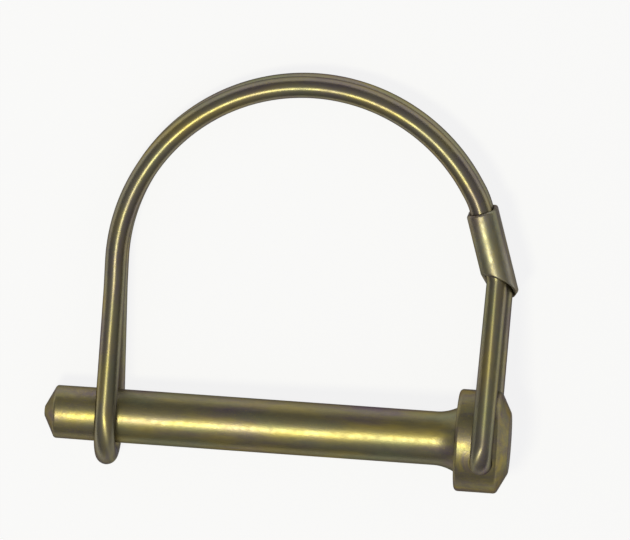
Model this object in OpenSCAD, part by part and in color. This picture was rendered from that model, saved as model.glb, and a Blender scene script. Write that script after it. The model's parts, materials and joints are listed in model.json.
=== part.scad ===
// Wire lock pin: a round steel pin with a drilled head, and a sprung wire bail
// that swings on the head and snaps over the point.
// In the pin's own frame X runs along the pin to the head, Y from the pin to the
// top of the bail and Z up. at_rest() then lays the whole thing on its side.

/* [Pin] */
// Diameter of the shank
shank_d = 8; // [6:0.1:10]
// Length of the shank from the head's shoulder to the start of the point
shank_len = 60; // [52:0.5:80]
// How much the radius falls from the bail to the start of the point
lead_taper = 0.05; // [0.02:0.01:0.1]
// Length of the point
point_len = 1.65; // [1:0.05:3]
// Diameter of the small flat on the point
point_flat_d = 1.5; // [0.5:0.1:3]
// Length of the flare under the head
flare_len = 3.3; // [2:0.1:5]
// How much the radius grows along the flare
flare_rise = 0.9; // [0.4:0.1:1.5]

/* [Head] */
// Diameter of the head
head_d = 15.2; // [14:0.1:18]
// Length of the head
head_len = 7.85; // [7:0.05:12]
// Length of the chamfer on the outer end
chamfer_len = 1.6; // [0.8:0.1:2.2]
// Depth of that chamfer in the radius
chamfer_rise = 3.1; // [1:0.1:3.5]
// Rounding of the rim beside the shoulder
rim_r = 0.6; // [0.2:0.1:1]
// Distance of the cross hole from the shoulder
hole_from_shoulder = 4.17; // [3:0.01:4.6]
// Distance of the cross hole below the pin's axis
hole_drop = 1.8; // [0:0.1:2.4]
// Radial play of the wire in the cross hole
hole_play = 0.06; // [0.03:0.01:0.15]

/* [Bail wire] */
// Diameter of the wire
wire_d = 3.2; // [2.5:0.1:3.5]
// Distance of the wire from the start of the point
eye_from_point = 8; // [5:0.1:12]
// Play between the shank and the wire that passes under it
eye_play = 0.15; // [0.1:0.05:0.5]
// Gap between the two strands where they run side by side
strand_gap = 0.2; // [0.1:0.05:0.6]
// Height above the pin's axis where the strands come together
strands_meet = 19.5; // [16:0.5:21]
// Height above the pin's axis where the arch begins
arch_base = 23.6; // [23:0.1:30]
// Bend radius where the strands come together
meet_r = 12; // [6:0.5:16]
// Bend radius just above the ferrule
tuck_r = 12; // [8:0.5:16]
// Turn of the strands just above the ferrule, in degrees
tuck_turn = 15; // [6:0.5:18]
// Straight run between the arch and that turn
tuck_run = 1; // [0.5:0.1:3]
// Bend radius at the mouth of the ferrule
kink_r = 3.5; // [2.5:0.1:5]
// Bend radius of each leg as it turns into the head
knee_r = 2.2; // [1.8:0.1:2.4]
// Play between a leg and the side of the head
leg_play = 0.45; // [0.3:0.05:0.8]
// Length of wire inside each side of the cross hole
tail_len = 4.8; // [3:0.1:6]
// How much a bend swells the wire's radius
bend_swell = 0.035; // [0.03:0.005:0.06]

/* [Ferrule] */
// Lean of the ferrule away from the upright, in degrees
ferrule_lean = 17; // [14:0.5:20]
// Length of the ferrule along its middle
ferrule_len = 11.8; // [11:0.1:14]
// Wall of the ferrule
ferrule_wall = 0.6; // [0.4:0.05:1]
// Play between the ferrule and the strands
ferrule_play = 0.05; // [0.03:0.01:0.1]
// Tilt of the sheared lower mouth, in degrees
mouth_tilt = 42; // [20:1:45]
// Direction that the sheared mouth faces, in degrees round the ferrule
mouth_facing = 142; // [110:1:170]
// How far above the ferrule's mid length the upper leg bends away
upper_kink_lead = 1.5; // [0.5:0.1:2]
// How far below the ferrule's mid length the lower leg bends away
lower_kink_lag = 0.5; // [0:0.1:1]
// Extra room that the mouth leaves round each leg
mouth_relief = 0.12; // [0.1:0.01:0.3]

/* [Hidden] */
$fn = 96;
steel_colour = [0.6, 0.56, 0.4];
wire_colour = [0.66, 0.62, 0.45];
ferrule_colour = [0.55, 0.54, 0.42];
shank_r = shank_d / 2;
head_r = head_d / 2;
wire_r = wire_d / 2;
// Radius of the arc that makes the flare, tangent to the shank
flare_r = (flare_len ^ 2 + flare_rise ^ 2) / (2 * flare_rise);
// Where the wire crosses the pin, and where the parallel grip ends beside it
eye_x = eye_from_point - shank_len;
grip_end_x = eye_x + wire_r + 2 * eye_play;
grip_middle = [(grip_end_x - flare_len) / 2, 0, 0];
eye_r = shank_r + eye_play + wire_r;
strand_half = (wire_d + strand_gap) / 2;
// The arch spans from the eye to the cross hole
arch_r = (hole_from_shoulder - eye_x) / 2;
arch_x = (hole_from_shoulder + eye_x) / 2;
arch_end_angle = ferrule_lean + tuck_turn;
arch_end_out = [cos(arch_end_angle), sin(arch_end_angle)];
arch_end_down = [sin(arch_end_angle), -cos(arch_end_angle)];
arch_end = [arch_x, arch_base] + arch_r * arch_end_out;
tuck_start = arch_end + tuck_run * arch_end_down;
tuck_centre = tuck_start - tuck_r * arch_end_out;
ferrule_top = tuck_centre + tuck_r * [cos(ferrule_lean), sin(ferrule_lean)];
ferrule_down = [sin(ferrule_lean), -cos(ferrule_lean)];
hole_depth_half = sqrt(head_r ^ 2 - hole_drop ^ 2);
overshoot = 1;
// Each straight runs this far into the bends at its ends
lap = 0.05;
up = 1;
down = -1;
rest_passes = 8;

function unit(v) = v / norm(v);
function to_3d(p, z) = [p.x, p.y, z];
function strand_z(side) = side * strand_half;
// Angle by which the eye runs past a half circle before its strand leaves it straight
meet_slope = atan2(strands_meet, strand_half) - acos(eye_r / norm([strands_meet, strand_half]));
function eye_exit(side) = [eye_x, eye_r * sin(meet_slope), side * eye_r * cos(meet_slope)];
function meet_corner(side) = [eye_x, strands_meet, strand_z(side)];
function arch_start(side) = [eye_x, arch_base, strand_z(side)];
function kink_length(side) = side == up ? ferrule_len - upper_kink_lead : ferrule_len + lower_kink_lag;
function kink(side) = to_3d(ferrule_top + kink_length(side) * ferrule_down, strand_z(side));
// Splay that lets a leg pass the side of the head with leg_play to spare
function splay(side) = let (k = kink(side), out = norm([k.y, strand_half]))
    asin((head_r + leg_play + wire_r) / out) - atan2(strand_half, k.y);
function knee(side) = let (k = kink(side))
    [hole_from_shoulder, -hole_drop, side * (strand_half + (k.y + hole_drop) * tan(splay(side)))];
function tail_end(side) = [hole_from_shoulder, -hole_drop, side * (hole_depth_half - tail_len)];
// Start, centre and axes of the arc of radius r that rounds the corner b of the path a, b, c
function turn_of(a, b, c) = acos(unit(b - a) * unit(c - b));
function setback(a, b, c, r) = r * tan(turn_of(a, b, c) / 2);
function toward_centre(a, b, c) = let (d = unit(b - a), e = unit(c - b)) unit(e - d * (d * e));
function bend_start(a, b, c, r) = b - unit(b - a) * setback(a, b, c, r);
function bend_end(a, b, c, r) = b + unit(c - b) * setback(a, b, c, r);
function bend_centre(a, b, c, r) = bend_start(a, b, c, r) + toward_centre(a, b, c) * r;

// The surface that the pin lies on touches the lower knee, the eye and the arch.
// Each pass finds the three lowest points of the wire for a normal, then their plane.
knee_centre = bend_centre(kink(down), knee(down), tail_end(down), knee_r);
knee_axis = unit(cross(knee(down) - kink(down), tail_end(down) - knee(down)));
function low_knee(n) = knee_centre - knee_r * unit(n - knee_axis * (n * knee_axis));
function low_eye(n) = [eye_x, 0, 0] - eye_r * unit([0, n.y, n.z]);
function low_arch(n) = [arch_x, arch_base, strand_z(down)] - arch_r * unit([n.x, n.y, 0]);
function plane_normal(a, b, c) = unit(cross(a - b, c - b));
function rest_normal(n, passes) = passes == 0 ? n
    : rest_normal(plane_normal(low_knee(n), low_eye(n), low_arch(n)), passes - 1);
rest_up = rest_normal(unit([0.05, -0.1, 1]), rest_passes);
rest_along = unit([1, 0, 0] - rest_up * rest_up.x);
rest_across = cross(rest_up, rest_along);

// Lays the pin's own frame on its side, with the middle of the grip at the origin
module at_rest() {
    multmatrix([rest_along, rest_across, rest_up]) translate(-grip_middle) children();
}

module straight(a, b, tube_r = wire_r) {
    d = unit(b - a);
    translate(a - lap * d) rotate([0, acos(d.z), atan2(d.y, d.x)])
        cylinder(r = tube_r, h = norm(b - a) + 2 * lap);
}

module bend(a, b, c, r, tube_r = wire_r) {
    outward = -toward_centre(a, b, c);
    along = unit(b - a);
    axis = cross(outward, along);
    centre = bend_centre(a, b, c, r);
    multmatrix([for (i = [0:2]) [outward[i], along[i], axis[i], centre[i]]])
        wire_arc(r, turn_of(a, b, c), tube_r);
}

module wire_arc(r, angle, tube_r = wire_r) {
    rotate_extrude(angle = angle) translate([r, 0]) circle(tube_r + bend_swell);
}

// Half of the pin's section, with the radius along X and the pin's length along Y
module pin_section() {
    polygon([
        [0, -shank_len - point_len],
        [point_flat_d / 2, -shank_len - point_len],
        [shank_r - lead_taper, -shank_len],
        [shank_r, grip_end_x],
        [shank_r, 0],
        [head_r, 0],
        [head_r, head_len - chamfer_len],
        [head_r - chamfer_rise, head_len],
        [0, head_len]
    ]);
    difference() {
        translate([0, -flare_len]) square([shank_r + flare_rise, flare_len]);
        translate([shank_r + flare_r, -flare_len]) circle(flare_r);
    }
}

// What the rounding takes off the rim beside the shoulder
module rim_waste() {
    difference() {
        translate([head_r - rim_r, -overshoot]) square([rim_r + overshoot, rim_r + overshoot]);
        translate([head_r - rim_r, rim_r]) circle(rim_r);
    }
}

module pin() {
    color(steel_colour) at_rest() difference() {
        rotate([0, 90, 0]) rotate_extrude() difference() {
            pin_section();
            rim_waste();
        }
        translate([hole_from_shoulder, -hole_drop, -head_r - overshoot])
            cylinder(r = wire_r + hole_play, h = head_d + 2 * overshoot);
    }
}

// One strand from the eye over the arch, through the ferrule and into the head
module strand(side) {
    z = strand_z(side);
    straight(eye_exit(side), bend_start(eye_exit(side), meet_corner(side), arch_start(side), meet_r));
    bend(eye_exit(side), meet_corner(side), arch_start(side), meet_r);
    straight(bend_end(eye_exit(side), meet_corner(side), arch_start(side), meet_r), arch_start(side));
    translate([arch_x, arch_base, z]) rotate([0, 0, arch_end_angle])
        wire_arc(arch_r, 180 - arch_end_angle);
    straight(to_3d(arch_end, z), to_3d(tuck_start, z));
    translate(to_3d(tuck_centre, z)) rotate([0, 0, ferrule_lean]) wire_arc(tuck_r, tuck_turn);
    top = to_3d(ferrule_top, z);
    straight(top, bend_start(top, kink(side), knee(side), kink_r));
    bend(top, kink(side), knee(side), kink_r);
    straight(bend_end(top, kink(side), knee(side), kink_r),
        bend_start(kink(side), knee(side), tail_end(side), knee_r));
    bend(kink(side), knee(side), tail_end(side), knee_r);
    straight(bend_end(kink(side), knee(side), tail_end(side), knee_r), tail_end(side));
}

module bail_wire() {
    color(wire_colour) at_rest() {
        translate([eye_x, 0, 0]) rotate([0, 90, 0]) rotate([0, 0, 180 - meet_slope])
            wire_arc(eye_r, 180 + 2 * meet_slope);
        strand(up);
        strand(down);
    }
}

module strand_pair_section(r) {
    for (side = [up, down]) translate([0, strand_z(side)]) circle(r);
    square([2 * r, 2 * strand_half], center = true);
}

module ferrule() {
    bore_r = wire_r + ferrule_play;
    longest = ferrule_len + head_d;
    color(ferrule_colour) at_rest() difference() {
        multmatrix([
            [-ferrule_down.y, 0, ferrule_down.x, ferrule_top.x],
            [ferrule_down.x, 0, ferrule_down.y, ferrule_top.y],
            [0, 1, 0, 0]
        ]) difference() {
            linear_extrude(longest) strand_pair_section(bore_r + ferrule_wall);
            translate([0, 0, -overshoot]) linear_extrude(longest + 2 * overshoot)
                strand_pair_section(bore_r);
            translate([0, 0, ferrule_len]) rotate([0, mouth_tilt, mouth_facing])
                translate([-longest, -longest, 0]) cube(2 * longest);
        }
        relief(up);
        relief(down);
    }
}

// Room at the mouth of the ferrule for a leg that bends away inside it
module relief(side) {
    top = to_3d(ferrule_top, strand_z(side));
    tube_r = wire_r + mouth_relief;
    bend(top, kink(side), knee(side), kink_r, tube_r);
    straight(bend_end(top, kink(side), knee(side), kink_r), knee(side), tube_r);
}

pin();
bail_wire();
ferrule();
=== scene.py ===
"""Looks of a wire lock pin: a turned pin, its sprung wire bail and the crimped ferrule."""
import json
import math
from typing import NamedTuple

import bmesh
import bpy
from mathutils import Matrix, Vector
from mathutils.kdtree import KDTree


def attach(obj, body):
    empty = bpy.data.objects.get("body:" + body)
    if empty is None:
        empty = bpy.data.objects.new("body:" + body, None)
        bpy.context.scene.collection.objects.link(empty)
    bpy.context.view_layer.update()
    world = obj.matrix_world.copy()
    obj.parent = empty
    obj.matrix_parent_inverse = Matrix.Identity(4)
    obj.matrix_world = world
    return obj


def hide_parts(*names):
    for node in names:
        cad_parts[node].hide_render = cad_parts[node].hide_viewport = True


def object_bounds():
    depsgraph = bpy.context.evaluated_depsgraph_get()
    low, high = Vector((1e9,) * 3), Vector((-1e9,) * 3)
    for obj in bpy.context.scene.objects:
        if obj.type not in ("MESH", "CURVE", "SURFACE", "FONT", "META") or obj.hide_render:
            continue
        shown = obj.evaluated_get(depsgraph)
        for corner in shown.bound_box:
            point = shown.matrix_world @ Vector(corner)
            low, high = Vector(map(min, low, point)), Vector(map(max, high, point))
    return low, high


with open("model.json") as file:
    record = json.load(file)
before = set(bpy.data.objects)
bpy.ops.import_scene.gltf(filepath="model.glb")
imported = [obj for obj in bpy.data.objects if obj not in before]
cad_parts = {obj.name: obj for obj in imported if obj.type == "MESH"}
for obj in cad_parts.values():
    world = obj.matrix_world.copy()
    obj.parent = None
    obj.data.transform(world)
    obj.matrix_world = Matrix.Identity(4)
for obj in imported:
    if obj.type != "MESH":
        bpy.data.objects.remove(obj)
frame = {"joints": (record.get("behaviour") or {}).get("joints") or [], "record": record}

bl_info = {
    "name": "Wire Lock Pin",
    "version": (1, 0, 0),
    "blender": (4, 5, 0),
    "location": "3D View > Sidebar > Lock Pin",
    "description": "Dresses a wire lock pin with fine meshes and a yellow zinc finish",
    "category": "Object",
}

CAD_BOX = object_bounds()
RECORD = frame["record"]
MM = 0.001

# The picture's width in pixels, and what a pixel spans at the pin
IMAGE_WIDTH = 630
PIXEL_SPAN = 0.14842 * MM

# How fine the meshes are
PIN_SIDES = 96
HOLE_SIDES = 48
WIRE_SIDES = 48
FLOOR_SIDES = 64
ROUNDING_STEPS = 6
GRIP_STEPS = 24
FLARE_STEPS = 12
EYE_STEPS = 48
MEET_STEPS = 8
ARCH_STEPS = 120
TUCK_STEPS = 10
KINK_STEPS = 10
KNEE_STEPS = 16
SLEEVE_ARC_STEPS = 40
SLEEVE_FLAT_STEPS = 16
SLEEVE_WALL_STEPS = 24
LONGEST_RUN = 0.8 * MM
FINE_RUN = 0.1 * MM
SAME_PLACE = 0.0001 * MM

# Edges that turn by more than this stay hard
HARD_EDGE = math.radians(35.0)
# Width of the narrow ring beside a rounding, as a share of its radius
GUARD_SHARE = 0.15
# Reach of the cutter for the cross hole, in head radii each way
CUTTER_REACH = 1.3

# Mesh attribute with each point's place in its own piece, the wire straightened, in millimetres
PLACE_LAYER = "plating"

# Map of the wire's finish: strips of the wire one above the other, and its two ends on top
FINISH_MAP = "OFBake"
WIRE_STRIPS = 6
STRIP_MARGIN = 0.03
END_MIDDLES = (0.25, 0.75)
END_HALF_WIDTH = 0.05
END_HALF_HEIGHT = 0.4

# Where rubbing starts on the pin and where it is full, in millimetres from the shoulder
POINT_RUB = (-50.0, -54.0)
HEAD_RUB = (-2.0, 1.0)
RUB_LEVEL = 0.42

# The floor and the camera
FLOOR_RADIUS = 2.0
FLOOR_ROUGHNESS = 0.9
FLOOR_GLOSS = 0.1
SENSOR_WIDTH = 36.0
NEAREST_SEEN = 0.01
# Heights where the room's walls end and its ceiling begins, from 0 at the level to 1 straight up
WALL_TOP = 0.15
CEILING_EDGE = 0.9


class Noise(NamedTuple):
    """A pattern of noise: its scale and detail, and the band of it that shows."""
    scale: float
    detail: float
    low: float
    high: float


class Patches(NamedTuple):
    """Patches in the film: how they are stretched, where they lie, and their noise."""
    stretch: tuple
    offset: tuple
    noise: Noise


class Finish(NamedTuple):
    """How a surface is worked.

    marks is how often the tool marks repeat along each axis, and relief is their depth.
    smoothest and roughest are the least and the most roughness.
    scuff is how rubbed it is all over, or None for the pin, which is rubbed at its ends.
    streak is how far highlights draw out along a wire that runs round the middle.
    """
    marks: tuple
    relief: float
    smoothest: float
    roughest: float
    scuff: float = None
    streak: float = 0.0


# The film's mottling and the tool marks
STRAW_PATCHES = Patches((0.2, 1.0, 1.0), (3.0, 7.0, 1.0), Noise(0.5, 4.0, 0.45, 0.75))
VIOLET_PATCHES = Patches((0.25, 1.0, 1.0), (17.0, 2.0, 5.0), Noise(0.4, 4.0, 0.48, 0.72))
GREEN_PATCHES = Patches((0.3, 1.0, 1.0), (31.0, 11.0, 9.0), Noise(0.3, 3.0, 0.47, 0.72))
STAINS = Patches((0.7, 1.0, 1.0), (5.0, 13.0, 2.0), Noise(1.1, 5.0, 0.4, 0.7))
SPECKS = Patches((1.0, 1.0, 1.0), (8.0, 4.0, 6.0), Noise(3.2, 3.0, 0.5, 0.75))
GRAIN = Noise(6.0, 4.0, 0.58, 0.8)
HAZE = Noise(1.1, 4.0, 0.3, 0.75)
MARK_LINES = Noise(1.0, 4.0, 0.3, 0.7)
MARK_PITS = Noise(3.5, 5.0, 0.25, 0.75)
LINE_DEPTH = 0.5

# The finish of each piece
PIN_FINISH = Finish(marks=(9.0, 0.6, 0.6), relief=0.005 * MM, smoothest=0.35, roughest=0.46)
WIRE_FINISH = Finish(
    marks=(0.08, 4.0, 4.0), relief=0.0012 * MM, smoothest=0.38, roughest=0.45, scuff=0.25, streak=0.75)
FERRULE_FINISH = Finish(
    marks=(2.0, 2.0, 2.0), relief=0.005 * MM, smoothest=0.38, roughest=0.5, scuff=0.35)


def record_entry(entries, name):
    """The entry of that name in a list of the record."""
    for entry in entries:
        if entry["name"] == name:
            return entry
    raise ValueError("the record has no entry named " + name)


# The pin's own axes in the shared frame: along it to the head, across it to the arch, and up
SHANK = record_entry(RECORD["mounts"], "shank")
SWING = record_entry(frame["joints"], "bail_swing")
ALONG = -Vector(SHANK["axis"]).normalized()
UPWARD = -Vector(SWING["axis"]).normalized()
ACROSS = UPWARD.cross(ALONG).normalized()
GRIP_MIDDLE = Vector(SHANK["pos_m"])


class PinSizes(bpy.types.PropertyGroup):
    """Sizes of the turned pin"""
    shank_radius: bpy.props.FloatProperty(
        name="Shank radius", description="Radius of the plain shank", default=4.0 * MM, unit="LENGTH",
        precision=5)
    grip_length: bpy.props.FloatProperty(
        name="Grip length", description="Parallel length between the flare and the bail",
        default=SHANK["dims"]["length_mm"] * MM, unit="LENGTH", precision=5)
    shank_length: bpy.props.FloatProperty(
        name="Shank length", description="Length from the shoulder to the point", default=60.0 * MM,
        unit="LENGTH", precision=5)
    lead_taper: bpy.props.FloatProperty(
        name="Lead taper", description="Fall of the radius towards the point", default=0.05 * MM,
        unit="LENGTH", precision=6)
    point_length: bpy.props.FloatProperty(
        name="Point length", description="Length of the point", default=1.65 * MM, unit="LENGTH",
        precision=5)
    point_flat_radius: bpy.props.FloatProperty(
        name="Point flat", description="Radius of the small flat on the point", default=0.75 * MM,
        unit="LENGTH", precision=5)
    flare_length: bpy.props.FloatProperty(
        name="Flare length", description="Length of the flare under the head", default=3.3 * MM,
        unit="LENGTH", precision=5)
    flare_rise: bpy.props.FloatProperty(
        name="Flare rise", description="Growth of the radius along the flare", default=0.9 * MM,
        unit="LENGTH", precision=5)
    head_radius: bpy.props.FloatProperty(
        name="Head radius", description="Radius of the head", default=7.6 * MM, unit="LENGTH",
        precision=5)
    head_length: bpy.props.FloatProperty(
        name="Head length", description="Length of the head", default=7.85 * MM, unit="LENGTH",
        precision=5)
    chamfer_length: bpy.props.FloatProperty(
        name="Chamfer length", description="Length of the end chamfer", default=1.6 * MM, unit="LENGTH",
        precision=5)
    chamfer_rise: bpy.props.FloatProperty(
        name="Chamfer depth", description="Depth of the end chamfer in the radius", default=3.1 * MM,
        unit="LENGTH", precision=5)
    rim_rounding: bpy.props.FloatProperty(
        name="Rim rounding", description="Rounding of the rim beside the shoulder", default=0.6 * MM,
        unit="LENGTH", precision=5)
    edge_rounding: bpy.props.FloatProperty(
        name="Edge rounding", description="Small rounding of the point's edges", default=0.25 * MM,
        unit="LENGTH", precision=5)
    end_rounding: bpy.props.FloatProperty(
        name="End rounding", description="Rounding of the chamfer on the head's end", default=0.7 * MM,
        unit="LENGTH", precision=5)
    hole_radius: bpy.props.FloatProperty(
        name="Hole radius", description="Radius of the cross hole", default=1.66 * MM, unit="LENGTH",
        precision=5)
    hole_from_shoulder: bpy.props.FloatProperty(
        name="Hole place", description="Distance of the cross hole from the shoulder",
        default=4.17 * MM, unit="LENGTH", precision=5)
    hole_drop: bpy.props.FloatProperty(
        name="Hole drop", description="Distance of the cross hole from the pin's axis",
        default=1.8 * MM, unit="LENGTH", precision=5)


class BailSizes(bpy.types.PropertyGroup):
    """Sizes of the wire bail"""
    wire_radius: bpy.props.FloatProperty(
        name="Wire radius", description="Radius of the wire", default=1.6 * MM, unit="LENGTH",
        precision=5)
    eye_from_point: bpy.props.FloatProperty(
        name="Eye place", description="Distance of the eye from the start of the point",
        default=8.0 * MM, unit="LENGTH", precision=5)
    eye_play: bpy.props.FloatProperty(
        name="Eye play", description="Play between the shank and the eye", default=0.15 * MM,
        unit="LENGTH", precision=6)
    strand_gap: bpy.props.FloatProperty(
        name="Strand gap", description="Gap between the two strands", default=0.2 * MM, unit="LENGTH",
        precision=6)
    strands_meet: bpy.props.FloatProperty(
        name="Strands meet", description="Height where the strands come together", default=19.5 * MM,
        unit="LENGTH", precision=5)
    arch_base: bpy.props.FloatProperty(
        name="Arch base", description="Height where the arch begins", default=23.6 * MM, unit="LENGTH",
        precision=5)
    meet_radius: bpy.props.FloatProperty(
        name="Meet radius", description="Bend radius where the strands come together",
        default=12.0 * MM, unit="LENGTH", precision=5)
    tuck_radius: bpy.props.FloatProperty(
        name="Tuck radius", description="Bend radius just above the ferrule", default=12.0 * MM,
        unit="LENGTH", precision=5)
    tuck_turn: bpy.props.FloatProperty(
        name="Tuck turn", description="Turn just above the ferrule", default=math.radians(15.0),
        subtype="ANGLE")
    tuck_run: bpy.props.FloatProperty(
        name="Tuck run", description="Straight run between the arch and the tuck", default=1.0 * MM,
        unit="LENGTH", precision=5)
    ferrule_lean: bpy.props.FloatProperty(
        name="Ferrule lean", description="Lean of the ferrule", default=math.radians(17.0),
        subtype="ANGLE")
    ferrule_length: bpy.props.FloatProperty(
        name="Ferrule length", description="Length of the ferrule along its middle", default=11.8 * MM,
        unit="LENGTH", precision=5)
    upper_kink_lead: bpy.props.FloatProperty(
        name="Upper kink lead", description="How far above the ferrule's length the upper leg bends",
        default=1.5 * MM, unit="LENGTH", precision=5)
    lower_kink_lag: bpy.props.FloatProperty(
        name="Lower kink lag", description="How far below the ferrule's length the lower leg bends",
        default=0.5 * MM, unit="LENGTH", precision=5)
    kink_radius: bpy.props.FloatProperty(
        name="Kink radius", description="Bend radius at the ferrule's mouth", default=3.5 * MM,
        unit="LENGTH", precision=5)
    knee_radius: bpy.props.FloatProperty(
        name="Knee radius", description="Bend radius of each leg at the head", default=2.2 * MM,
        unit="LENGTH", precision=5)
    leg_play: bpy.props.FloatProperty(
        name="Leg play", description="Play between a leg and the head", default=0.45 * MM,
        unit="LENGTH", precision=6)
    tail_length: bpy.props.FloatProperty(
        name="Tail length", description="Wire inside each side of the cross hole", default=4.8 * MM,
        unit="LENGTH", precision=5)


class FerruleSizes(bpy.types.PropertyGroup):
    """Sizes of the crimped ferrule"""
    bore_radius: bpy.props.FloatProperty(
        name="Bore radius", description="Radius of the bore round each strand", default=1.65 * MM,
        unit="LENGTH", precision=5)
    wall: bpy.props.FloatProperty(
        name="Wall", description="Thickness of the sleeve", default=0.6 * MM, unit="LENGTH",
        precision=5)
    thinnest: bpy.props.FloatProperty(
        name="Thinnest wall", description="Wall that is left where a leg presses on the mouth",
        default=0.15 * MM, unit="LENGTH", precision=5)
    mouth_tilt: bpy.props.FloatProperty(
        name="Mouth tilt", description="Tilt of the sheared mouth", default=math.radians(42.0),
        subtype="ANGLE")
    mouth_facing: bpy.props.FloatProperty(
        name="Mouth facing", description="Direction that the sheared mouth faces, round the ferrule",
        default=math.radians(142.0), subtype="ANGLE")
    corner_length: bpy.props.FloatProperty(
        name="Corner length", description="Length of the sleeve at the blunt corner of its mouth",
        default=13.2 * MM, unit="LENGTH", precision=5)
    corner_slope: bpy.props.FloatProperty(
        name="Corner slope", description="Slope of the edge beside the blunt corner",
        default=math.radians(48.0), subtype="ANGLE")
    corner_blend: bpy.props.FloatProperty(
        name="Corner blend", description="How softly the blunt corner meets the sheared edge",
        default=0.25 * MM, unit="LENGTH", precision=5)
    top_rounding: bpy.props.FloatProperty(
        name="Top rounding", description="Rounding of the top edge, pressed in on the wire",
        default=0.38 * MM, unit="LENGTH", precision=5)
    mouth_rounding: bpy.props.FloatProperty(
        name="Mouth rounding", description="Rounding of the mouth's edges", default=0.2 * MM,
        unit="LENGTH", precision=5)


class FinishColours(bpy.types.PropertyGroup):
    """Colours of the plated finish"""
    olive: bpy.props.FloatVectorProperty(
        name="Olive", description="Main tone of the yellow zinc on the pin",
        default=(0.265, 0.236, 0.13), subtype="COLOR", size=3, min=0.0, max=1.0)
    drawn: bpy.props.FloatVectorProperty(
        name="Drawn wire", description="Main tone of the thinner film on the wire",
        default=(0.28, 0.26, 0.185), subtype="COLOR", size=3, min=0.0, max=1.0)
    sleeve: bpy.props.FloatVectorProperty(
        name="Sleeve", description="Main tone of the film on the ferrule", default=(0.34, 0.325, 0.265),
        subtype="COLOR", size=3, min=0.0, max=1.0)
    straw: bpy.props.FloatVectorProperty(
        name="Straw", description="Thicker, yellower film", default=(0.42, 0.34, 0.11), subtype="COLOR",
        size=3, min=0.0, max=1.0)
    violet: bpy.props.FloatVectorProperty(
        name="Violet", description="Violet bloom of the film", default=(0.21, 0.172, 0.178),
        subtype="COLOR", size=3, min=0.0, max=1.0)
    green: bpy.props.FloatVectorProperty(
        name="Green grey", description="Green grey bloom of the film", default=(0.24, 0.245, 0.15),
        subtype="COLOR", size=3, min=0.0, max=1.0)
    rim_tint: bpy.props.FloatVectorProperty(
        name="Rim tint", description="Tone of the film where it is seen edge on",
        default=(0.2, 0.19, 0.26), subtype="COLOR", size=3, min=0.0, max=1.0)


class StageSettings(bpy.types.PropertyGroup):
    """Camera, floor and light"""
    camera_distance: bpy.props.FloatProperty(
        name="Camera distance", description="Distance of the camera from the pin", default=1.2,
        unit="LENGTH")
    view_width: bpy.props.FloatProperty(
        name="View width", description="Width that the picture takes in at the pin",
        default=IMAGE_WIDTH * PIXEL_SPAN, unit="LENGTH", precision=5)
    camera_yaw: bpy.props.FloatProperty(
        name="Camera yaw", description="Turn of the camera towards the head", default=math.radians(4.6),
        subtype="ANGLE")
    camera_lift: bpy.props.FloatProperty(
        name="Camera lift", description="Turn of the camera towards the arch",
        default=math.radians(10.7), subtype="ANGLE")
    camera_roll: bpy.props.FloatProperty(
        name="Camera roll", description="Slope of the pin in the picture", default=math.radians(3.117),
        subtype="ANGLE")
    centre_along: bpy.props.FloatProperty(
        name="Centre along", description="Picture's centre from the shoulder, along the pin",
        default=-22.415 * MM, unit="LENGTH", precision=5)
    centre_across: bpy.props.FloatProperty(
        name="Centre across", description="Picture's centre from the pin, towards the arch",
        default=24.006 * MM, unit="LENGTH", precision=5)
    floor_colour: bpy.props.FloatVectorProperty(
        name="Floor", description="Colour of the floor", default=(0.88, 0.88, 1.0), subtype="COLOR",
        size=3, min=0.0, max=1.0)
    floor_glow: bpy.props.FloatProperty(
        name="Floor glow", description="Share of plain white in the floor as it is seen", default=0.85,
        min=0.0, max=1.0, subtype="FACTOR")
    ceiling_level: bpy.props.FloatProperty(
        name="Ceiling level", description="Light from straight above", default=0.42, min=0.0, max=1.0)
    wall_level: bpy.props.FloatProperty(
        name="Wall level", description="Light from the sides of the room", default=0.14, min=0.0,
        max=1.0)
    key_power: bpy.props.FloatProperty(
        name="Key power", description="Power of the key lamp in watts", default=1.1, min=0.0, max=10.0)
    key_size: bpy.props.FloatProperty(
        name="Key size", description="Width of the key lamp's disc", default=0.09, unit="LENGTH")
    key_distance: bpy.props.FloatProperty(
        name="Key distance", description="Distance of the key lamp from the part", default=0.5,
        unit="LENGTH")
    key_drop: bpy.props.FloatProperty(
        name="Key drop", description="Angle of the key lamp below the camera's axis",
        default=math.radians(16.8), subtype="ANGLE")
    key_side: bpy.props.FloatProperty(
        name="Key side", description="Angle of the key lamp to the left of the camera's axis",
        default=math.radians(12.0), subtype="ANGLE")
    key_colour: bpy.props.FloatVectorProperty(
        name="Key colour", description="Warm tone of the key lamp", default=(1.0, 0.985, 0.6),
        subtype="COLOR", size=3, min=0.0, max=1.0)
    room_colour: bpy.props.FloatVectorProperty(
        name="Room colour", description="Tone of the room's light", default=(0.97, 0.955, 1.0),
        subtype="COLOR", size=3, min=0.0, max=1.0)


def in_frame(point):
    """A point of the pin's own frame, measured from the shoulder, in the shared frame."""
    sizes = bpy.context.scene.lockpin_pin
    shoulder = GRIP_MIDDLE + ALONG * (sizes.grip_length / 2 + sizes.flare_length)
    return shoulder + ALONG * point[0] + ACROSS * point[1] + UPWARD * point[2]


def new_piece(name, mesh_maker):
    """A new object in the scene, its mesh filled by a function that takes a bmesh."""
    mesh = bpy.data.meshes.new(name)
    shape = bmesh.new()
    mesh_maker(shape)
    shape.to_mesh(mesh)
    shape.free()
    mesh.shade_smooth()
    mesh.set_sharp_from_angle(angle=HARD_EDGE)
    piece = bpy.data.objects.new(name, mesh)
    bpy.context.scene.collection.objects.link(piece)
    return piece


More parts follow.
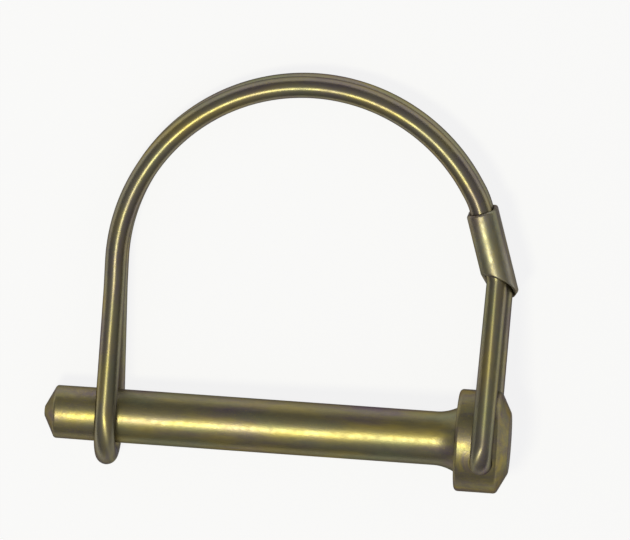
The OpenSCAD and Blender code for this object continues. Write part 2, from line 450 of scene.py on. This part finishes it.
def rounded(corners, steps):
    """A profile of (x, r) points from (x, r, rounding) corners, each rounded by an arc."""
    points = []
    last = len(corners) - 1
    for i, (x, r, rounding) in enumerate(corners):
        here = Vector((x, r))
        if rounding == 0 or i in (0, last):
            points.append(here)
            continue
        back = (Vector(corners[i - 1][:2]) - here).normalized()
        ahead = (Vector(corners[i + 1][:2]) - here).normalized()
        half = back.angle(ahead) / 2
        reach = rounding / math.tan(half)
        start = here + back * reach
        end = here + ahead * reach
        centre = here + (back + ahead).normalized() * (rounding / math.sin(half))
        sweep = (start - centre).angle_signed(end - centre)
        guard = rounding * GUARD_SHARE
        points.append(start + back * guard)
        for k in range(steps + 1):
            turn = Matrix.Rotation(-sweep * k / steps, 2)
            points.append(centre + turn @ (start - centre))
        points.append(end + ahead * guard)
    return points


def pin_profile(sizes):
    """Half section of the pin as (x, r) points from the point to the head's end."""
    shank = sizes.shank_radius
    tip = -sizes.shank_length - sizes.point_length
    edge = sizes.edge_rounding
    flare_radius = (sizes.flare_length ** 2 + sizes.flare_rise ** 2) / (2 * sizes.flare_rise)
    grip_end = -sizes.flare_length - sizes.grip_length
    nose = rounded([
        (tip, 0.0, 0.0),
        (tip, sizes.point_flat_radius, edge),
        (-sizes.shank_length, shank - sizes.lead_taper, 2 * edge),
        (grip_end, shank, 0.0),
    ], ROUNDING_STEPS)
    grip_step = sizes.grip_length / GRIP_STEPS
    grip = [Vector((grip_end + grip_step * k, shank)) for k in range(1, GRIP_STEPS)]
    flare = []
    for k in range(FLARE_STEPS + 1):
        x = -sizes.flare_length + sizes.flare_length * k / FLARE_STEPS
        rise = flare_radius - math.sqrt(flare_radius ** 2 - (x + sizes.flare_length) ** 2)
        flare.append(Vector((x, shank + rise)))
    head = rounded([
        (0.0, shank + sizes.flare_rise, 0.0),
        (0.0, sizes.head_radius, sizes.rim_rounding),
        (sizes.head_length - sizes.chamfer_length, sizes.head_radius, sizes.end_rounding),
        (sizes.head_length, sizes.head_radius - sizes.chamfer_rise, sizes.end_rounding),
        (sizes.head_length, 0.0, 0.0),
    ], ROUNDING_STEPS)
    return nose + grip + flare + head[1:]


def lathe(shape, profile, sides):
    """Turns a profile about the pin's axis and keeps each point's place in millimetres."""
    layer = shape.verts.layers.float_vector.new(PLACE_LAYER)
    rings = []
    for x, r in profile:
        count = 1 if r == 0 else sides
        ring = []
        for k in range(count):
            angle = 2 * math.pi * k / sides
            local = Vector((x, r * math.cos(angle), r * math.sin(angle)))
            vert = shape.verts.new(in_frame(local))
            vert[layer] = local / MM
            ring.append(vert)
        rings.append(ring)
    for low, high in zip(rings, rings[1:]):
        for k in range(sides):
            after = (k + 1) % sides
            if len(low) == 1:
                shape.faces.new((low[0], high[after], high[k]))
            elif len(high) == 1:
                shape.faces.new((low[k], low[after], high[0]))
            else:
                shape.faces.new((low[k], low[after], high[after], high[k]))
    bmesh.ops.recalc_face_normals(shape, faces=shape.faces)


def drill(piece, start, end, radius):
    """Cuts a round hole through a piece between two points."""
    run = end - start

    def plug(shape):
        turn = run.to_track_quat("Z", "Y").to_matrix().to_4x4()
        place = Matrix.Translation((start + end) / 2) @ turn
        bmesh.ops.create_cone(
            shape, cap_ends=True, segments=HOLE_SIDES, radius1=radius, radius2=radius, depth=run.length,
            matrix=place)

    cutter = new_piece("hole_cutter", plug)
    cut = piece.modifiers.new("cross hole", "BOOLEAN")
    cut.operation = "DIFFERENCE"
    cut.solver = "EXACT"
    cut.object = cutter
    bpy.context.view_layer.update()
    graph = bpy.context.evaluated_depsgraph_get()
    drilled = bpy.data.meshes.new_from_object(piece.evaluated_get(graph))
    piece.modifiers.remove(cut)
    plain = piece.data
    piece.data = drilled
    drilled.name = plain.name + "_drilled"
    bpy.data.meshes.remove(plain)
    cutter_mesh = cutter.data
    bpy.data.objects.remove(cutter)
    bpy.data.meshes.remove(cutter_mesh)
    drilled.shade_smooth()
    drilled.set_sharp_from_angle(angle=HARD_EDGE)


def corner_arc(before, corner, after, radius, steps):
    """Points of the arc that rounds a corner of a path."""
    into = (corner - before).normalized()
    out = (after - corner).normalized()
    turn = into.angle(out)
    start = corner - into * radius * math.tan(turn / 2)
    inward = (out - into * into.dot(out)).normalized()
    centre = start + inward * radius
    points = []
    for k in range(steps + 1):
        angle = turn * k / steps
        points.append(centre - inward * radius * math.cos(angle) + into * radius * math.sin(angle))
    return points


def flat_arc(centre, radius, first, last, z, steps):
    """Points of an arc in the plane of the arch, from one angle to another."""
    points = []
    for k in range(steps + 1):
        angle = first + (last - first) * k / steps
        points.append(Vector((centre.x + radius * math.cos(angle), centre.y + radius * math.sin(angle), z)))
    return points


class ArchPlan:
    """Places of the bail in the plane of the arch, from the eye to the ferrule."""

    def __init__(self, pin, bail):
        self.eye_x = bail.eye_from_point - pin.shank_length
        self.radius = (pin.hole_from_shoulder - self.eye_x) / 2
        self.centre = Vector(((pin.hole_from_shoulder + self.eye_x) / 2, bail.arch_base))
        self.end_angle = bail.ferrule_lean + bail.tuck_turn
        out = Vector((math.cos(self.end_angle), math.sin(self.end_angle)))
        down = Vector((out.y, -out.x))
        tuck_start = self.centre + out * self.radius + down * bail.tuck_run
        self.tuck_centre = tuck_start - out * bail.tuck_radius
        self.lean_out = Vector((math.cos(bail.ferrule_lean), math.sin(bail.ferrule_lean)))
        self.lean_down = Vector((self.lean_out.y, -self.lean_out.x))
        self.ferrule_top = self.tuck_centre + self.lean_out * bail.tuck_radius
        self.strand_half = bail.wire_radius + bail.strand_gap / 2


def bail_path(pin, bail):
    """Centre line of the wire in the pin's own frame, from one tail over the arch to the other."""
    plan = ArchPlan(pin, bail)
    wire = bail.wire_radius
    eye_x = plan.eye_x
    eye_radius = pin.shank_radius + bail.eye_play + wire
    half = plan.strand_half
    meet_reach = math.hypot(bail.strands_meet, half)
    meet_slope = math.atan2(bail.strands_meet, half) - math.acos(eye_radius / meet_reach)
    hole_half = math.sqrt(pin.head_radius ** 2 - pin.hole_drop ** 2)

    def strand(side):
        """Points of the upper strand, side 1, or the lower one, side -1, from the eye to its tail."""
        z = side * half
        leave = Vector((eye_x, eye_radius * math.sin(meet_slope), side * eye_radius * math.cos(meet_slope)))
        meet = Vector((eye_x, bail.strands_meet, z))
        rise = Vector((eye_x, bail.arch_base, z))
        length = bail.ferrule_length
        length += -bail.upper_kink_lead if side > 0 else bail.lower_kink_lag
        flat_kink = plan.ferrule_top + plan.lean_down * length
        kink = Vector((*flat_kink, z))
        reach = math.hypot(kink.y, half)
        splay = math.asin((pin.head_radius + bail.leg_play + wire) / reach) - math.atan2(half, kink.y)
        knee_z = side * (half + (kink.y + pin.hole_drop) * math.tan(splay))
        knee = Vector((pin.hole_from_shoulder, -pin.hole_drop, knee_z))
        tail = Vector((pin.hole_from_shoulder, -pin.hole_drop, side * (hole_half - bail.tail_length)))
        top = Vector((*plan.ferrule_top, z))
        points = [leave]
        points += corner_arc(leave, meet, rise, bail.meet_radius, MEET_STEPS)
        points += flat_arc(plan.centre, plan.radius, math.pi, plan.end_angle, z, ARCH_STEPS)
        points += flat_arc(
            plan.tuck_centre, bail.tuck_radius, plan.end_angle, bail.ferrule_lean, z, TUCK_STEPS)
        points += corner_arc(top, kink, knee, bail.kink_radius, KINK_STEPS)
        points += corner_arc(kink, knee, tail, bail.knee_radius, KNEE_STEPS)
        points.append(tail)
        return points

    eye = []
    for k in range(1, EYE_STEPS):
        angle = meet_slope - (math.pi + 2 * meet_slope) * k / EYE_STEPS
        eye.append(Vector((eye_x, eye_radius * math.sin(angle), eye_radius * math.cos(angle))))
    return strand(1)[::-1] + eye + strand(-1)


def filled(points, longest):
    """The same path with long runs split into shorter ones."""
    path = [points[0]]
    for start, end in zip(points, points[1:]):
        if (end - start).length < SAME_PLACE:
            continue
        parts = max(1, math.ceil((end - start).length / longest))
        path += [start.lerp(end, k / parts) for k in range(1, parts + 1)]
    return path


def strip_place(strip, along, around):
    """A place on the finish's map, where each strip of the wire has a margin round it."""
    inner = 1 - 2 * STRIP_MARGIN
    return STRIP_MARGIN + inner * along, (strip + STRIP_MARGIN + inner * around) / (WIRE_STRIPS + 1)


def sweep_wire(shape, points, radius, sides):
    """A round wire along a path. It keeps each point's place on the straightened wire, in millimetres."""
    layer = shape.verts.layers.float_vector.new(PLACE_LAYER)
    side = Vector((1.0, 0.0, 0.0))
    run = 0.0
    runs = []
    rings = []
    last = len(points) - 1
    for i, point in enumerate(points):
        ahead = (points[min(i + 1, last)] - points[max(i - 1, 0)]).normalized()
        side = (side - ahead * side.dot(ahead)).normalized()
        over = ahead.cross(side)
        run += (point - points[i - 1]).length if i else 0.0
        runs.append(run)
        ring = []
        for k in range(sides):
            angle = 2 * math.pi * k / sides
            across = side * math.cos(angle) + over * math.sin(angle)
            vert = shape.verts.new(in_frame(point + across * radius))
            vert[layer] = Vector((run, radius * math.cos(angle), radius * math.sin(angle))) / MM
            ring.append(vert)
        rings.append(ring)
    skin_wire(shape, rings, runs)


def skin_wire(shape, rings, runs):
    """Faces between a wire's rings and on its ends, with their places on the finish's map."""
    sides = len(rings[0])
    finish_map = shape.loops.layers.uv.new(FINISH_MAP)
    strip_length = runs[-1] / WIRE_STRIPS
    for i in range(len(rings) - 1):
        strip = int((runs[i] + runs[i + 1]) / 2 / strip_length)
        for k in range(sides):
            corners = ((i, k), (i, k + 1), (i + 1, k + 1), (i + 1, k))
            face = shape.faces.new([rings[ring][step % sides] for ring, step in corners])
            for loop, (ring, step) in zip(face.loops, corners):
                loop[finish_map].uv = strip_place(strip, runs[ring] / strip_length - strip, step / sides)
    for ring, middle in zip((rings[0], rings[-1]), END_MIDDLES):
        end = shape.faces.new(ring)
        for k, loop in enumerate(end.loops):
            angle = 2 * math.pi * k / sides
            along = middle + END_HALF_WIDTH * math.cos(angle)
            around = 0.5 + END_HALF_HEIGHT * math.sin(angle)
            loop[finish_map].uv = strip_place(WIRE_STRIPS, along, around)
    bmesh.ops.recalc_face_normals(shape, faces=shape.faces)


def oval_stations(half, arc_steps, flat_steps):
    """Stations round a flat oval as (centre, angle) pairs: two half circles and the flats between them."""
    stations = []
    for side, first in ((1, 0.0), (-1, math.pi)):
        for k in range(arc_steps):
            stations.append((side * half, first + math.pi * k / arc_steps))
        for k in range(flat_steps):
            stations.append((side * half * (1 - 2 * k / flat_steps), first + math.pi))
    return stations


def sleeve_section(ferrule, arc_steps, wall_steps):
    """The wall's rounded section as (offset, share, setback) points.

    offset is the place in the wall, share runs from the top to the mouth, and setback is the
    distance from that end.
    """
    points = []
    shares = [k / wall_steps for k in range(1, wall_steps)]
    corners = (
        (0.0, ferrule.top_rounding, True, True),
        (1.0, ferrule.mouth_rounding, True, False),
        (1.0, ferrule.mouth_rounding, False, True),
        (0.0, ferrule.mouth_rounding, False, False),
    )
    for share, radius, outer, leaves_end in corners:
        for k in range(arc_steps + 1):
            turn = math.pi / 2 * (k if leaves_end else arc_steps - k) / arc_steps
            inset = radius * (1 - math.sin(turn))
            points.append((ferrule.wall - inset if outer else inset, share, radius * (1 - math.cos(turn))))
        if leaves_end and outer:
            points += [(ferrule.wall, along, 0.0) for along in shares]
        elif leaves_end:
            points += [(0.0, along, 0.0) for along in reversed(shares)]
    return points


def mouth_length(bail, ferrule, out, up):
    """Length of the sleeve at a place of its section: a sheared plane with a blunt outer corner."""
    facing = ferrule.mouth_facing
    slant = out * math.cos(facing) + up * math.sin(facing)
    sheared = bail.ferrule_length - slant * math.tan(ferrule.mouth_tilt)
    inward = ferrule.bore_radius + ferrule.wall - out
    blunt = ferrule.corner_length + inward * math.tan(ferrule.corner_slope)
    blend = ferrule.corner_blend
    return -blend * math.log(math.exp(-sheared / blend) + math.exp(-blunt / blend))


def clear_of_wire(point, wire, room):
    """The point, moved out of the wire's way where it lies nearer to the centre line than room."""
    nearest, _, distance = wire.find(point)
    if distance >= room:
        return point
    return nearest + (point - nearest).normalized() * room


def crimp_sleeve(shape, pin, bail, ferrule):
    """A flat oval sleeve round both strands, with rounded edges and a mouth that gives way to the legs."""
    plan = ArchPlan(pin, bail)
    path = filled(bail_path(pin, bail), FINE_RUN)
    wire = KDTree(len(path))
    for i, place in enumerate(path):
        wire.insert(place, i)
    wire.balance()
    layer = shape.verts.layers.float_vector.new(PLACE_LAYER)
    section = sleeve_section(ferrule, ROUNDING_STEPS, SLEEVE_WALL_STEPS)
    columns = []
    for centre, angle in oval_stations(plan.strand_half, SLEEVE_ARC_STEPS, SLEEVE_FLAT_STEPS):
        column = []
        for offset, share, setback in section:
            reach = ferrule.bore_radius + offset
            out = reach * math.cos(angle)
            up = centre + reach * math.sin(angle)
            end = mouth_length(bail, ferrule, out, up)
            down = setback + share * (end - 2 * setback)
            flat = plan.ferrule_top + plan.lean_out * out + plan.lean_down * down
            room = ferrule.bore_radius + ferrule.thinnest * offset / ferrule.wall
            vert = shape.verts.new(in_frame(clear_of_wire(Vector((*flat, up)), wire, room)))
            vert[layer] = Vector((down, out, up)) / MM
            column.append(vert)
        columns.append(column)
    for here, beside in zip(columns, columns[1:] + columns[:1]):
        for k in range(len(section)):
            after = (k + 1) % len(section)
            shape.faces.new((here[k], here[after], beside[after], beside[k]))
    bmesh.ops.recalc_face_normals(shape, faces=shape.faces)


def add_node(tree, kind, **values):
    """A new node, with plain attributes set from values."""
    node = tree.nodes.new(kind)
    for key, value in values.items():
        setattr(node, key, value)
    return node


def mixed(tree, factor, first, second):
    """A colour mix of two sockets by a factor."""
    mix = add_node(tree, "ShaderNodeMix", data_type="RGBA")
    tree.links.new(factor, mix.inputs["Factor"])
    tree.links.new(first, mix.inputs["A"])
    tree.links.new(second, mix.inputs["B"])
    return mix.outputs["Result"]


def combined(tree, operation, *values):
    """The result of a math node over sockets and plain numbers."""
    node = add_node(tree, "ShaderNodeMath", operation=operation)
    for socket, value in zip(node.inputs, values):
        if isinstance(value, bpy.types.NodeSocket):
            tree.links.new(value, socket)
        else:
            socket.default_value = value
    return node.outputs["Value"]


def ranged(tree, value, given, wanted=(0.0, 1.0)):
    """A value taken from a given range to a wanted one, and held at its ends."""
    node = add_node(tree, "ShaderNodeMapRange")
    for label, level in zip(("From Min", "From Max", "To Min", "To Max"), (*given, *wanted)):
        node.inputs[label].default_value = level
    tree.links.new(value, node.inputs["Value"])
    return node.outputs["Result"]


def banded_noise(tree, place, noise):
    """Noise at a place, stretched so that its band becomes nought to one."""
    texture = add_node(tree, "ShaderNodeTexNoise")
    texture.inputs["Scale"].default_value = noise.scale
    texture.inputs["Detail"].default_value = noise.detail
    tree.links.new(place, texture.inputs["Vector"])
    return ranged(tree, texture.outputs["Fac"], (noise.low, noise.high))


def patched(tree, place, patches):
    """Patches of noise at a place that is stretched and moved first."""
    mapping = add_node(tree, "ShaderNodeMapping")
    mapping.inputs["Scale"].default_value = patches.stretch
    mapping.inputs["Location"].default_value = patches.offset
    tree.links.new(place, mapping.inputs["Vector"])
    return banded_noise(tree, mapping.outputs["Vector"], patches.noise)


def new_group(name, inputs, outputs):
    """A new node group with the named sockets, and the nodes for its inputs and outputs."""
    tree = bpy.data.node_groups.new(name, "ShaderNodeTree")
    for way, sockets in (("INPUT", inputs), ("OUTPUT", outputs)):
        for label, kind in sockets.items():
            tree.interface.new_socket(label, in_out=way, socket_type="NodeSocket" + kind)
    return tree, add_node(tree, "NodeGroupInput"), add_node(tree, "NodeGroupOutput")


def film_group():
    """Node group for the mottled yellow film: a colour and a haze that change over the surface."""
    name = "yellow zinc film"
    if name in bpy.data.node_groups:
        return bpy.data.node_groups[name]
    tones = dict.fromkeys(("Main", "Straw", "Violet", "Green"), "Color")
    tree, inside, outside = new_group(
        name, {"Place": "Vector", "Scuff": "Float", **tones}, {"Color": "Color", "Haze": "Float"})
    place = inside.outputs["Place"]
    scuff = inside.outputs["Scuff"]
    stain = combined(tree, "MULTIPLY", scuff, patched(tree, place, STAINS))
    layers = (
        (patched(tree, place, STRAW_PATCHES), "Straw"),
        (patched(tree, place, VIOLET_PATCHES), "Violet"),
        (patched(tree, place, GREEN_PATCHES), "Green"),
        (banded_noise(tree, place, GRAIN), "Straw"),
        (stain, "Violet"),
        (combined(tree, "MULTIPLY", scuff, patched(tree, place, SPECKS)), "Straw"),
    )
    colour = inside.outputs["Main"]
    for mask, tone in layers:
        colour = mixed(tree, mask, colour, inside.outputs[tone])
    tree.links.new(colour, outside.inputs["Color"])
    haze = banded_noise(tree, place, HAZE)
    tree.links.new(combined(tree, "ADD", haze, stain), outside.inputs["Haze"])
    return tree


def marks_group():
    """Node group for tool marks: a height that changes over the surface."""
    name = "tool marks"
    if name in bpy.data.node_groups:
        return bpy.data.node_groups[name]
    tree, inside, outside = new_group(
        name, {"Place": "Vector", "Stretch": "Vector"}, {"Height": "Float"})
    place = inside.outputs["Place"]
    stretch = add_node(tree, "ShaderNodeVectorMath", operation="MULTIPLY")
    tree.links.new(place, stretch.inputs[0])
    tree.links.new(inside.outputs["Stretch"], stretch.inputs[1])
    lines = banded_noise(tree, stretch.outputs["Vector"], MARK_LINES)
    pits = banded_noise(tree, place, MARK_PITS)
    height = combined(tree, "MULTIPLY_ADD", lines, LINE_DEPTH, pits)
    tree.links.new(height, outside.inputs["Height"])
    return tree


def rubbed_ends(tree, place):
    """A mask of the pin's rubbed ends: the point outside the eye, and the head."""
    parts = add_node(tree, "ShaderNodeSeparateXYZ")
    tree.links.new(place, parts.inputs["Vector"])
    ends = [ranged(tree, parts.outputs["X"], rub, (0.0, RUB_LEVEL)) for rub in (POINT_RUB, HEAD_RUB)]
    return combined(tree, "MAXIMUM", *ends)


def plated(name, main, finish):
    """A yellow zinc finish in a main tone."""
    colours = bpy.context.scene.lockpin_finish
    material = bpy.data.materials.new(name)
    material.use_nodes = True
    tree = material.node_tree
    shader = tree.nodes["Principled BSDF"]
    shader.inputs["Metallic"].default_value = 1.0
    shader.inputs["Specular Tint"].default_value = (*colours.rim_tint, 1.0)
    shader.inputs["Anisotropic"].default_value = finish.streak
    place = add_node(tree, "ShaderNodeAttribute", attribute_name=PLACE_LAYER).outputs["Vector"]
    film = add_node(tree, "ShaderNodeGroup", node_tree=film_group())
    tree.links.new(place, film.inputs["Place"])
    film.inputs["Main"].default_value = (*main, 1.0)
    for tone in ("straw", "violet", "green"):
        film.inputs[tone.capitalize()].default_value = (*getattr(colours, tone), 1.0)
    if finish.scuff is None:
        tree.links.new(rubbed_ends(tree, place), film.inputs["Scuff"])
    else:
        film.inputs["Scuff"].default_value = finish.scuff
    tree.links.new(film.outputs["Color"], shader.inputs["Base Color"])
    rough = ranged(tree, film.outputs["Haze"], (0.0, 1.0), (finish.smoothest, finish.roughest))
    tree.links.new(rough, shader.inputs["Roughness"])
    marks = add_node(tree, "ShaderNodeGroup", node_tree=marks_group())
    tree.links.new(place, marks.inputs["Place"])
    marks.inputs["Stretch"].default_value = finish.marks
    bump = add_node(tree, "ShaderNodeBump")
    bump.inputs["Strength"].default_value = 1.0
    bump.inputs["Distance"].default_value = finish.relief
    tree.links.new(marks.outputs["Height"], bump.inputs["Height"])
    tree.links.new(bump.outputs["Normal"], shader.inputs["Normal"])
    return material


class LOCKPIN_OT_turn_pin(bpy.types.Operator):
    """Turns the pin with its head, point and cross hole"""
    bl_idname = "lockpin.turn_pin"
    bl_label = "Turn the Pin"

    def execute(self, context):
        sizes = context.scene.lockpin_pin
        profile = pin_profile(sizes)
        piece = new_piece("turned_pin", lambda shape: lathe(shape, profile, PIN_SIDES))
        reach = sizes.head_radius * CUTTER_REACH
        low = in_frame((sizes.hole_from_shoulder, -sizes.hole_drop, -reach))
        high = in_frame((sizes.hole_from_shoulder, -sizes.hole_drop, reach))
        drill(piece, low, high, sizes.hole_radius)
        piece.data.materials.clear()
        olive = context.scene.lockpin_finish.olive
        piece.data.materials.append(plated("plated pin steel", olive, PIN_FINISH))
        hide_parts("pin")
        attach(piece, "pin")
        return {"FINISHED"}


class LOCKPIN_OT_bend_bail(bpy.types.Operator):
    """Bends the doubled wire of the bail"""
    bl_idname = "lockpin.bend_bail"
    bl_label = "Bend the Bail"

    def execute(self, context):
        bail = context.scene.lockpin_bail
        path = filled(bail_path(context.scene.lockpin_pin, bail), LONGEST_RUN)
        piece = new_piece(
            "sprung_bail", lambda shape: sweep_wire(shape, path, bail.wire_radius, WIRE_SIDES))
        drawn = context.scene.lockpin_finish.drawn
        piece.data.materials.append(plated("plated wire", drawn, WIRE_FINISH))
        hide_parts("bail_wire")
        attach(piece, "bail")
        return {"FINISHED"}


class LOCKPIN_OT_crimp_ferrule(bpy.types.Operator):
    """Crimps the ferrule round both strands"""
    bl_idname = "lockpin.crimp_ferrule"
    bl_label = "Crimp the Ferrule"

    def execute(self, context):
        scene = context.scene
        piece = new_piece(
            "crimped_ferrule",
            lambda shape: crimp_sleeve(shape, scene.lockpin_pin, scene.lockpin_bail, scene.lockpin_ferrule))
        sleeve = scene.lockpin_finish.sleeve
        piece.data.materials.append(plated("plated ferrule", sleeve, FERRULE_FINISH))
        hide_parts("ferrule")
        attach(piece, "bail")
        return {"FINISHED"}


class LOCKPIN_OT_set_stage(bpy.types.Operator):
    """Sets the floor, the light and the camera"""
    bl_idname = "lockpin.set_stage"
    bl_label = "Set the Stage"

    def execute(self, context):
        stage = context.scene.lockpin_stage
        context.scene.view_settings.view_transform = "Standard"
        self.lay_floor(stage)
        right, up, toward = self.view_axes(stage)
        aim = in_frame((0.0, 0.0, 0.0)) + right * stage.centre_along + up * stage.centre_across
        image_right = right * math.cos(stage.camera_roll) + up * math.sin(stage.camera_roll)
        image_up = up * math.cos(stage.camera_roll) - right * math.sin(stage.camera_roll)
        self.set_camera(context, stage, aim, image_right, image_up, toward)
        self.set_light(context, stage, aim, image_right, image_up, toward)
        return {"FINISHED"}

    def view_axes(self, stage):
        """The photograph's axes: right along the pin, up to the arch, and toward the camera."""
        yaw, lift = stage.camera_yaw, stage.camera_lift
        right = ALONG * math.cos(yaw) - UPWARD * math.sin(yaw)
        level = ALONG * math.sin(yaw) + UPWARD * math.cos(yaw)
        toward = level * math.cos(lift) + ACROSS * math.sin(lift)
        up = ACROSS * math.cos(lift) - level * math.sin(lift)
        return right, up, toward

    def lay_floor(self, stage):
        """A large plain floor just under the part."""
        def disc(shape):
            bmesh.ops.create_circle(shape, cap_ends=True, segments=FLOOR_SIDES, radius=FLOOR_RADIUS)

        floor = new_piece("floor", disc)
        floor.location = (0.0, 0.0, CAD_BOX[0][2])
        material = bpy.data.materials.new("pale floor")
        material.use_nodes = True
        shader = material.node_tree.nodes["Principled BSDF"]
        shader.inputs["Base Color"].default_value = (*stage.floor_colour, 1.0)
        shader.inputs["Roughness"].default_value = FLOOR_ROUGHNESS
        shader.inputs["Specular IOR Level"].default_value = FLOOR_GLOSS
        self.whiten(material.node_tree, shader, stage.floor_glow)
        floor.data.materials.append(material)

    def whiten(self, tree, shader, share):
        """Shows the floor nearer to white, to the eye and in reflections, and keeps its shadow."""
        path = add_node(tree, "ShaderNodeLightPath")
        seen = path.outputs["Is Camera Ray"]
        for ray in ("Is Glossy Ray", "Is Transmission Ray"):
            seen = combined(tree, "MAXIMUM", seen, path.outputs[ray])
        glow = add_node(tree, "ShaderNodeEmission")
        glow.inputs["Color"].default_value = (1.0, 1.0, 1.0, 1.0)
        glow.inputs["Strength"].default_value = 1.0
        mix = add_node(tree, "ShaderNodeMixShader")
        tree.links.new(combined(tree, "MULTIPLY", seen, share), mix.inputs["Fac"])
        tree.links.new(shader.outputs["BSDF"], mix.inputs[1])
        tree.links.new(glow.outputs["Emission"], mix.inputs[2])
        tree.links.new(mix.outputs["Shader"], tree.nodes["Material Output"].inputs["Surface"])

    def set_camera(self, context, stage, aim, image_right, image_up, toward):
        """A long lens at the photograph's angle."""
        data = bpy.data.cameras.new("photo_camera")
        data.sensor_width = SENSOR_WIDTH
        data.lens = SENSOR_WIDTH * stage.camera_distance / stage.view_width
        data.clip_start = NEAREST_SEEN
        camera = bpy.data.objects.new("photo_camera", data)
        place = aim + toward * stage.camera_distance
        axes = Matrix((image_right, image_up, toward)).transposed().to_4x4()
        camera.matrix_world = Matrix.Translation(place) @ axes
        context.scene.collection.objects.link(camera)
        context.scene.camera = camera

    def set_light(self, context, stage, aim, image_right, image_up, toward):
        """One key lamp beside the camera and the even light of the room."""
        way = toward - image_up * math.tan(stage.key_drop) - image_right * math.tan(stage.key_side)
        way.normalize()
        data = bpy.data.lights.new("key_lamp", "AREA")
        data.shape = "DISK"
        data.size = stage.key_size
        data.energy = stage.key_power
        data.color = stage.key_colour
        lamp = bpy.data.objects.new("key_lamp", data)
        turn = way.to_track_quat("Z", "Y").to_matrix().to_4x4()
        lamp.matrix_world = Matrix.Translation(aim + way * stage.key_distance) @ turn
        context.scene.collection.objects.link(lamp)
        world = bpy.data.worlds.new("studio")
        world.use_nodes = True
        tree = world.node_tree
        sky = tree.nodes["Background"]
        sky.inputs["Color"].default_value = (*stage.room_colour, 1.0)
        coords = add_node(tree, "ShaderNodeTexCoord")
        parts = add_node(tree, "ShaderNodeSeparateXYZ")
        tree.links.new(coords.outputs["Generated"], parts.inputs["Vector"])
        levels = (stage.wall_level, stage.ceiling_level)
        grade = ranged(tree, parts.outputs["Z"], (WALL_TOP, CEILING_EDGE), levels)
        tree.links.new(grade, sky.inputs["Strength"])
        context.scene.world = world


class LOCKPIN_PT_panel(bpy.types.Panel):
    """Steps that dress the pin"""
    bl_idname = "LOCKPIN_PT_panel"
    bl_label = "Wire Lock Pin"
    bl_space_type = "VIEW_3D"
    bl_region_type = "UI"
    bl_category = "Lock Pin"

    def draw(self, context):
        for step in STEPS:
            self.layout.operator(step.bl_idname)


GROUPS = {
    "lockpin_pin": PinSizes,
    "lockpin_bail": BailSizes,
    "lockpin_ferrule": FerruleSizes,
    "lockpin_finish": FinishColours,
    "lockpin_stage": StageSettings,
}
STEPS = (LOCKPIN_OT_turn_pin, LOCKPIN_OT_bend_bail, LOCKPIN_OT_crimp_ferrule, LOCKPIN_OT_set_stage)


def register():
    for group in GROUPS.values():
        bpy.utils.register_class(group)
    for name, group in GROUPS.items():
        setattr(bpy.types.Scene, name, bpy.props.PointerProperty(type=group))
    for step in STEPS:
        bpy.utils.register_class(step)
    bpy.utils.register_class(LOCKPIN_PT_panel)


def unregister():
    bpy.utils.unregister_class(LOCKPIN_PT_panel)
    for step in reversed(STEPS):
        bpy.utils.unregister_class(step)
    for name, group in GROUPS.items():
        delattr(bpy.types.Scene, name)
        bpy.utils.unregister_class(group)


def main():
    register()
    bpy.ops.lockpin.turn_pin()
    bpy.ops.lockpin.bend_bail()
    bpy.ops.lockpin.crimp_ferrule()
    bpy.ops.lockpin.set_stage()
    bpy.context.view_layer.update()


if __name__ == "__main__":
    main()
